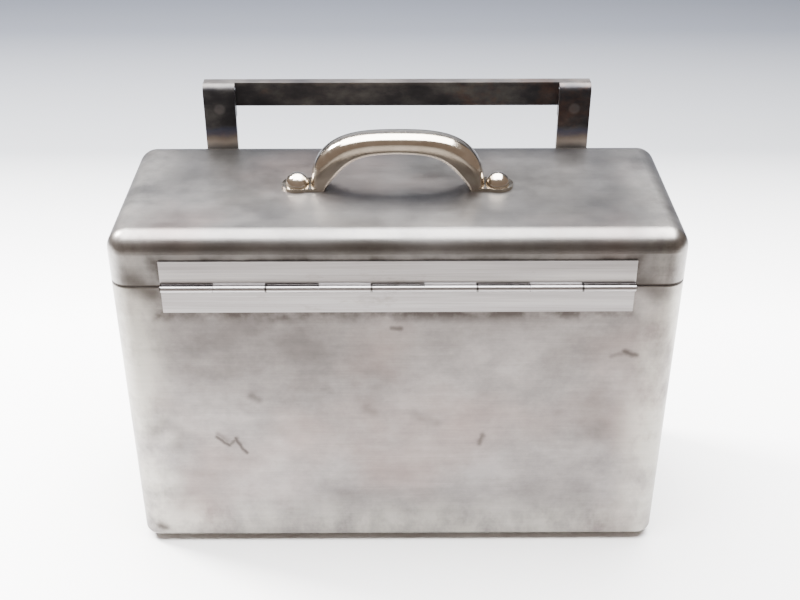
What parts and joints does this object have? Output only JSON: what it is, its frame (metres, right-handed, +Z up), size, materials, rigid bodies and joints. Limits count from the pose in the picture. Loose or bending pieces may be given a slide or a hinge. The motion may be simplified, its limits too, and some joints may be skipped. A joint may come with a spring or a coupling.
{
  "type": "carry box with cantilever trays",
  "caption": "Upright sheet-steel carry box with a piano-hinged lid, bow handle, rear flat-bar frame and cantilever trays that rise as the lid opens.",
  "frame": {"origin": "centre of the case's outline, on the plane of the feet", "axes": "+X along the length, +Z up, hinge side at -Y, catch and upright frame at +Y"},
  "size_m": [0.3336, 0.1451, 0.2636],
  "materials": {
    "case_steel": "bare sheet steel, hand worked, satin",
    "lid_steel": "bare sheet steel, darker mill skin, satin",
    "hinge_steel": "bare rolled steel, fine drawn grain",
    "frame_steel": "hot rolled flat bar with mill scale",
    "nickel": "polished nickel plate",
    "zinc": "zinc plated, satin",
    "tray_steel": "galvanised sheet, satin",
    "rubber": "moulded black rubber, matt"
  },
  "bodies": {
    "case": {"body_shell": "case_steel", "hinge_leaf_lower": "hinge_steel", "hinge_pin": "hinge_steel", "frame_upright_left": "frame_steel", "frame_upright_right": "frame_steel", "frame_crossbar": "frame_steel", "frame_plug_rivets": "frame_steel", "frame_shims": "frame_steel", "frame_rivets": "zinc", "rubber_feet": "rubber", "foot_screws": "zinc", "foot_nuts": "zinc", "arm_studs": "zinc", "catch_barrel": "nickel", "catch_nut": "zinc"},
    "lid": {"lid_shell": "lid_steel", "hinge_leaf_upper": "hinge_steel", "handle_bow": "nickel", "handle_screws": "nickel", "handle_washers": "zinc", "handle_nuts": "zinc", "lid_link_studs": "zinc", "lid_strike": "zinc"},
    "main_arms": {"main_arm_left": "zinc", "main_arm_right": "zinc", "arm_link_rivets": "zinc"},
    "follower_arms": {"follower_arm_left": "zinc", "follower_arm_right": "zinc"},
    "drag_links": {"drag_link_left": "zinc", "drag_link_right": "zinc"},
    "upper_tray": {"upper_tray_pan": "tray_steel", "upper_tray_dividers": "tray_steel", "upper_bracket_left": "zinc", "upper_bracket_right": "zinc", "upper_tray_rivets": "zinc"},
    "lower_tray": {"lower_tray_pan": "tray_steel", "lower_tray_dividers": "tray_steel", "lower_bracket_left": "zinc", "lower_bracket_right": "zinc", "lower_tray_rivets": "zinc"},
    "catch": {"catch_knob": "nickel", "catch_cam": "zinc", "cam_screw": "zinc"}
  },
  "joints": [
    {"name": "lid_hinge", "type": "hinge", "parent": "case", "child": "lid", "pos_m": [0, -0.0665, 0.193], "axis": [1, 0, 0], "range_deg": [0, 100]},
    {"name": "main_arm_pivot", "type": "hinge", "parent": "case", "child": "main_arms", "pos_m": [0, -0.0492, 0.163], "axis": [1, 0, 0], "range_deg": [0, 100]},
    {"name": "follower_arm_pivot", "type": "hinge", "parent": "case", "child": "follower_arms", "pos_m": [0, -0.0407, 0.1449], "axis": [1, 0, 0], "range_deg": [0, 100]},
    {"name": "drag_link_pivot", "type": "hinge", "parent": "lid", "child": "drag_links", "pos_m": [0, 0.0356, 0.2092], "axis": [1, 0, 0], "range_deg": [-100, 0]},
    {"name": "upper_tray_pivot", "type": "hinge", "parent": "main_arms", "child": "upper_tray", "pos_m": [0, 0.01142, 0.128], "axis": [1, 0, 0], "range_deg": [-100, 0]},
    {"name": "lower_tray_pivot", "type": "hinge", "parent": "main_arms", "child": "lower_tray", "pos_m": [0, -0.01283, 0.142], "axis": [1, 0, 0], "range_deg": [-100, 0]},
    {"name": "catch_turn", "type": "hinge", "parent": "case", "child": "catch", "pos_m": [0, 0.064, 0.179], "axis": [0, 1, 0], "range_deg": [0, 90]}
  ],
  "couplings": [
    {"joint": "main_arm_pivot", "follows": "lid_hinge", "ratio": 1},
    {"joint": "follower_arm_pivot", "follows": "lid_hinge", "ratio": 1},
    {"joint": "drag_link_pivot", "follows": "lid_hinge", "ratio": -1},
    {"joint": "upper_tray_pivot", "follows": "lid_hinge", "ratio": -1},
    {"joint": "lower_tray_pivot", "follows": "lid_hinge", "ratio": -1}
  ]
}
